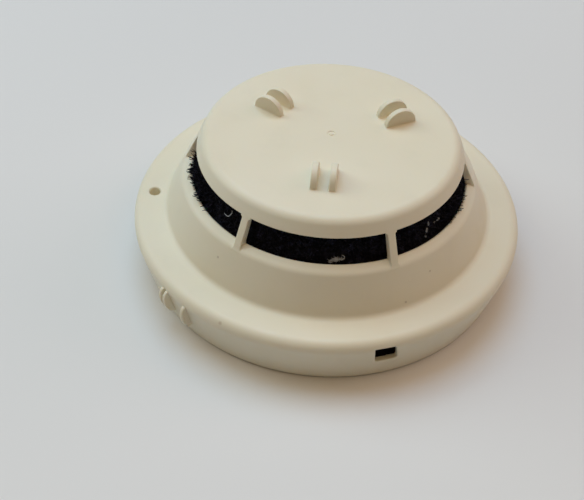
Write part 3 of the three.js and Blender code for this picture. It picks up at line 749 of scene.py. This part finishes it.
FOAM_FOOT = (42.3, 30.6)
FOAM_TOP = (38.6, 41.6)
FOAM_THICKNESS = 4.0
FOAM_LEAN_LENGTH = math.hypot(FOAM_TOP[0] - FOAM_FOOT[0], FOAM_TOP[1] - FOAM_FOOT[1])
FOAM_SWELL = 0.3
CRUMB_ANGLES = (-94.2, -58.0, -50.2)
CELL = 1.55
CELL_RING_RADIUS = 40.4
CELL_RING_HEIGHT = 11.6


def foam_point(around, rise, depth):
    """Around the ring in radians, share of its height, and depth behind its outer face, all as arrays."""
    inward, upward = FOAM_FOOT[0] - FOAM_TOP[0], FOAM_TOP[1] - FOAM_FOOT[1]
    radius = FOAM_FOOT[0] - inward * rise - depth * (upward / FOAM_LEAN_LENGTH)
    height = FOAM_FOOT[1] + upward * rise - depth * (inward / FOAM_LEAN_LENGTH)
    return np.stack([radius * np.cos(around), radius * np.sin(around), height], -1)


def near_angle(around, centre, width):
    """1 at an angle in degrees, falling smoothly to 0 beyond its width on either side."""
    off = (np.degrees(around) - centre + 180) % 360 - 180
    return np.exp(-((off / width) ** 2))


def raggedness(around):
    """How torn the foam is at an angle: it stands out over the ledge on the left and on the right."""
    return near_angle(around, -169, 12) + 0.8 * near_angle(around, -15, 9)


def swelling(around, rise):
    """How far the torn foam has sunk in, which is nothing at its foot and near its top."""
    return FOAM_SWELL * (raggedness(around) * np.sin(math.pi * np.clip(rise * 1.25, 0, 1)))


def foam_core():
    """The dark body of the foam behind its open cells, with a ragged outer face."""
    columns, rows = 720, 26
    mean_depth, roughness = 0.8, 0.3
    around = np.linspace(0, 2 * math.pi, columns, endpoint=False)[:, None]
    rise = np.linspace(0, 1, rows)[None, :]
    depth = mean_depth + roughness * rng.standard_normal((columns, rows)) + swelling(around, rise)
    outer = foam_point(around, rise, depth)
    inner = foam_point(around, np.array([[1.0, 0.0]]), np.full((columns, 2), FOAM_THICKNESS))
    loop = np.concatenate([outer, inner], 1)
    count = loop.shape[1]
    faces = []
    for k in range(columns):
        m = (k + 1) % columns
        for i in range(count):
            j = (i + 1) % count
            faces.append([k * count + i, m * count + i, m * count + j, k * count + j])
    return [tuple(p) for p in loop.reshape(-1, 3)], faces


def tubes(lines, radii, sides=3):
    """Closed thin tubes along lines, an array of (tube, point, 3), with a radius for each tube and point."""
    tiny, steep = 1e-9, 0.8
    count, length = lines.shape[:2]
    along = np.gradient(lines, axis=1)
    along /= np.linalg.norm(along, axis=2, keepdims=True) + tiny
    helper = np.where(np.abs(along[..., 2:3]) < steep, [[[0.0, 0.0, 1.0]]], [[[1.0, 0.0, 0.0]]])
    side = np.cross(along, helper)
    side /= np.linalg.norm(side, axis=2, keepdims=True) + tiny
    up = np.cross(along, side)
    turn = 2 * math.pi * np.arange(sides) / sides
    ring = side[:, :, None] * np.cos(turn)[:, None] + up[:, :, None] * np.sin(turn)[:, None]
    points = lines[:, :, None] + ring * radii[:, :, None, None]
    points = points.reshape(-1, 3)
    faces = []
    for t in range(count):
        start = t * length * sides
        faces.append([start + i for i in range(sides)])
        faces.append([start + (length - 1) * sides + i for i in range(sides)][::-1])
        for k in range(length - 1):
            for i in range(sides):
                j = (i + 1) % sides
                low, high = start + k * sides, start + (k + 1) * sides
                faces.append([low + i, high + i, high + j, low + j])
    return [tuple(p) for p in points], faces


def shaken(joints, across):
    """Lattice joints pushed off their places. A joint gets the same push whichever strut asks for it."""
    farthest = 0.21
    key = np.round(joints * 4).astype(int)
    key[:, 0] %= across * 4
    # Large primes, and the fraction of a large sine, scatter neighbouring joints' keys.
    state = key[:, 0] * 73856093 ^ (key[:, 1] + 99) * 19349663 ^ (key[:, 2] + 99) * 83492791
    seed = state % 100003
    pushes = [np.modf(np.sin(seed * factor) * 43758.5453)[0] for factor in (0.131, 0.277, 0.419)]
    return joints + farthest * np.stack(pushes, -1)


def foam_struts():
    """The open cells at the outer face: a shaken diamond lattice, which has four struts at each joint."""
    across = round(2 * math.pi * CELL_RING_RADIUS / CELL)
    up = math.ceil(CELL_RING_HEIGHT / CELL)
    joints = np.array([(0, 0, 0), (0, 0.5, 0.5), (0.5, 0, 0.5), (0.5, 0.5, 0)])
    bonds = 0.25 * np.array([(1, 1, 1), (1, -1, -1), (-1, 1, -1), (-1, -1, 1)])
    grid = np.meshgrid(np.arange(across), np.arange(-1, up + 1), np.arange(-1, 2), indexing="ij")
    first = (np.stack(grid, -1).reshape(-1, 1, 3) + joints).reshape(-1, 3)
    start = shaken(np.concatenate([first for _ in bonds]), across)
    end = shaken(np.concatenate([first + bond for bond in bonds]), across)
    middle = (start + end) / 2 + 0.06 * rng.standard_normal(start.shape)
    lines = np.stack([start, middle, end], 1)
    rise, depth = lines[..., 1] * CELL / CELL_RING_HEIGHT, lines[..., 2] * CELL + 0.15
    shallowest, deepest = -0.25, 1.6
    within_height = (rise.min(1) > 0) & (rise.max(1) < 1)
    within_depth = (depth.min(1) > shallowest) & (depth.max(1) < deepest)
    around = lines[..., 0] * 2 * math.pi / across
    lines = foam_point(around, rise, depth + swelling(around, rise))[within_height & within_depth]
    thick = 0.085 + 0.03 * rng.random((len(lines), 1))
    thicker_at_joints = np.array([1.35, 0.85, 1.35])
    return tubes(lines, thick * thicker_at_joints)


def loose_fibres():
    """Torn struts and loops that stand out of the foam, thickest at the two ragged stretches of its edge."""
    count, steps = 2400, 7
    ragged_share, left_share, ragged_height = 0.66, 0.58, 0.62
    left_stretch, right_stretch = (-2.93, 0.16), (-0.26, 0.13)
    mean_radius = 41.0
    ragged = rng.random(count) < ragged_share
    left = rng.random(count) < left_share
    clustered = np.where(left, rng.normal(*left_stretch, count), rng.normal(*right_stretch, count))
    around = np.where(ragged, clustered, rng.uniform(0, 2 * math.pi, count))
    low_down = ragged_height * rng.beta(1.2, 1.3, count)
    rise = np.where(ragged, low_down, rng.uniform(0.05, 0.95, count))
    size = np.where(ragged, rng.uniform(0.4, 1.0, count), rng.uniform(0.25, 0.7, count))
    t = np.linspace(0, 1, steps)
    curl = rng.uniform(0.45, 1.3, (count, 1)) * math.pi
    swing = rng.uniform(0, 2 * math.pi, (count, 1))
    reach = np.sin(t[None] * curl) * size[:, None]
    slide = (1 - np.cos(t[None] * curl)) * size[:, None] * 0.6
    along_ring = around[:, None] + slide * np.cos(swing) / mean_radius
    along_rise = np.clip(rise[:, None] + slide * np.sin(swing) / FOAM_LEAN_LENGTH, 0.02, 0.97)
    depth = 0.3 - reach + 0.2 * raggedness(along_ring)
    lines = foam_point(along_ring, along_rise, depth)
    thick = np.where(ragged, 0.14, 0.085)[:, None]
    return tubes(lines, thick * np.linspace(1.2, 0.75, steps))


def torn_bits():
    """Strands that stand out over the ledge at the two ragged stretches, and crumbs on the lower edge."""
    steps, sides = 6, 4
    lowest, highest = 0.13, 0.6
    spots = [(rng.normal(-163, 9), 3.2) for _ in range(110)]
    spots += [(rng.normal(-20, 7), 2.8) for _ in range(80)]
    spots += [(angle + rng.normal(0, 0.35), 1.9) for angle in CRUMB_ANGLES for _ in range(9)]
    parts = []
    for angle, reach in spots:
        length = reach * rng.uniform(0.4, 1.15)
        start = rng.uniform(0.16, 0.42)
        rise = np.clip(start + np.cumsum(rng.normal(0, 0.018, steps)), lowest, highest)
        drift = math.radians(angle) + np.cumsum(rng.normal(0, 0.0055, steps))
        depth = np.linspace(0.4, -length, steps)
        thick = np.linspace(0.22, 0.12, steps) * rng.uniform(0.75, 1.25)
        parts.append(tubes(foam_point(drift, rise, depth)[None], thick[None], sides))
    return merged(parts)


foam_parts = [foam_core(), foam_struts(), loose_fibres(), torn_bits()]
foam = make_object("foam_ring", *merged(foam_parts))
place(foam, "head", ["foam_screen"], materials["black_foam"])


# ---- Lint caught in the foam ----


def lint_line(run, radius, steps=22):
    """A pale fibre along a run of (angle, share of the height, distance out of the foam)."""
    smooth = eased_line(run, steps)
    line = foam_point(np.radians(smooth[:, 0]), smooth[:, 1], -smooth[:, 2])
    taper = np.sin(math.pi * np.linspace(0.08, 0.92, steps)) ** 0.6
    return tubes(line[None], (radius * taper)[None], 6)


def lint_tangle(start, end, width, count, radius):
    """Short fibres tangled along the way from one (angle, share of the height) to another."""
    parts = []
    for _ in range(count):
        middle = np.array(start) + (np.array(end) - start) * rng.random()
        knots = middle + rng.normal(0, 1, (4, 2)) * width
        out = 0.35 + 0.5 * rng.random(4)
        parts.append(lint_line(np.column_stack([knots, out]), radius * rng.uniform(0.6, 1.2), 12))
    return parts


HOOK = (
    (-136.3, 0.42, 0.4),
    (-135.0, 0.42, 0.6),
    (-133.4, 0.43, 0.7),
    (-132.4, 0.52, 0.7),
    (-131.9, 0.60, 0.6),
    (-132.6, 0.64, 0.4),
)
TAIL = (
    (-82.6, 0.20, 0.6),
    (-81.6, 0.22, 0.6),
    (-81.3, 0.27, 0.5),
    (-82.6, 0.31, 0.3),
)
# A clump with the tail, then a chain of tufts: start, end, width, number of fibres and their radius.
TANGLES = (
    ((-87.0, 0.15), (-84.4, 0.22), (0.7, 0.035), 34, 0.062),
    ((-85.8, 0.17), (-82.6, 0.21), (0.8, 0.03), 22, 0.06),
    ((-42.6, 0.56), (-42.9, 0.48), (0.25, 0.02), 7, 0.09),
    ((-44.0, 0.41), (-44.4, 0.32), (0.3, 0.025), 9, 0.09),
    ((-45.2, 0.25), (-45.4, 0.18), (0.25, 0.02), 6, 0.07),
    ((-37.4, 0.41), (-36.0, 0.45), (0.3, 0.02), 6, 0.07),
    ((-39.5, 0.40), (-38.6, 0.42), (0.3, 0.02), 3, 0.06),
)


def lint():
    """All the lint, as one piece."""
    parts = [lint_line(HOOK, 0.14), lint_line(TAIL, 0.1)]
    for tangle in TANGLES:
        parts += lint_tangle(*tangle)
    return merged(parts)


place(make_object("lint_fibres", *lint()), "head", [], lint_material())


# ---- Leaf spring behind the release lever ----

# Distance from the axis and height of points along the leaf, from the end of its foot to its tip.
SPRING_KNOTS = (
    (52.8, 2.9),
    (53.4, 2.9),
    (53.8, 3.0),
    (54.0, 3.4),
    (54.25, 5.4),
    (54.5, 7.4),
    (54.72, 9.1),
    (54.62, 9.5),
)
SPRING_HALF_WIDTH = 2.0
SPRING_HALF_THICKNESS = 0.18


def leaf_spring():
    """A foot that lies on the base plate, and a leaf that leans on the lever's back."""
    line = eased_line(SPRING_KNOTS, 40)
    along = np.gradient(line, axis=0)
    along /= np.linalg.norm(along, axis=1, keepdims=True)
    wide, thin, edge = SPRING_HALF_WIDTH, SPRING_HALF_THICKNESS, 0.1
    section = rounded_box(-wide, -thin, wide, thin, edge)
    rings = []
    for (x, z), (out, up) in zip(line, along):
        rings.append([(x + p.y * up, p.x, z - p.y * out) for p in section])
    return carried(loft(rings), RELEASE_ANGLE)


spring = make_object("leaf_spring", *leaf_spring())
finish_surface(spring)
spring.data.materials.append(materials["spring_steel"])
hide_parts("lever_spring")
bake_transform(spring)


# ---- Table, lights and camera ----


def table():
    """A square top, a hair below the base so that the two surfaces don't share a plane."""
    half, height = 3000, -0.02
    corners = [(-half, -half, height), (half, -half, height), (half, half, height), (-half, half, height)]
    made = make_object("table", corners, [[0, 1, 2, 3]])
    made.data.materials.append(table_material())


# Each light's name, place, diameter, power in watts and colour. They are soft, and fill in for each other.
LIGHTS = (
    ("window_light", (-0.25, 0.55, 1.5), 1.3, 12.9, (0.32, 0.666, 1.0)),
    ("ceiling_light", (0.0, 0.0, 1.6), 3.2, 19.3, (1.0, 0.678, 0.34)),
    ("left_light", (-1.5, 0.5, 1.1), 1.2, 10.3, (0.888, 1.0, 0.96)),
    ("right_light", (1.5, 0.6, 1.1), 1.2, 6.4, (1.0, 0.75, 0.71)),
)
WORLD_STRENGTH = 0.075


def area_light(name, place_m, size_m, power, colour):
    """A round soft light that faces the origin, placed and sized in metres."""
    light = bpy.data.lights.new(name, "AREA")
    light.shape = "DISK"
    light.size = size_m
    light.energy = power
    light.color = colour
    made = bpy.data.objects.new(name, light)
    made.location = place_m
    made.rotation_euler = (-Vector(place_m)).to_track_quat("-Z", "Y").to_euler()
    bpy.context.scene.collection.objects.link(made)


def world_light(strength):
    """Plain white light from all round."""
    world = bpy.data.worlds.new("room")
    world.use_nodes = True
    background = world.node_tree.nodes["Background"]
    background.inputs["Color"].default_value = (1.0, 1.0, 1.0, 1.0)
    background.inputs["Strength"].default_value = strength
    bpy.context.scene.world = world


# Places in metres, and the lens in millimetres for a sensor 36 mm wide.
CAMERA_PLACE = Vector((0, -0.23224, 0.222446))
CAMERA_AIM = Vector((-0.0095, -0.0262, 0.020))
CAMERA_ROLL = math.radians(2.26)
CAMERA_LENS = 58.107


def camera():
    """Looks down on the detector from the front, rolled slightly."""
    data = bpy.data.cameras.new("camera")
    data.lens = CAMERA_LENS
    data.sensor_width = 36.0
    data.sensor_fit = "HORIZONTAL"
    data.clip_start = 0.01
    made = bpy.data.objects.new("camera", data)
    forward = (CAMERA_AIM - CAMERA_PLACE).normalized()
    level = forward.cross(Vector((0, 0, 1))).normalized()
    right = level * math.cos(CAMERA_ROLL) + level.cross(forward) * math.sin(CAMERA_ROLL)
    axes = Matrix((right, right.cross(forward), -forward)).transposed()
    made.matrix_world = Matrix.Translation(CAMERA_PLACE) @ axes.to_4x4()
    bpy.context.scene.collection.objects.link(made)
    bpy.context.scene.camera = made


bpy.context.scene.view_settings.view_transform = "Standard"
table()
for light in LIGHTS:
    area_light(*light)
world_light(WORLD_STRENGTH)
camera()
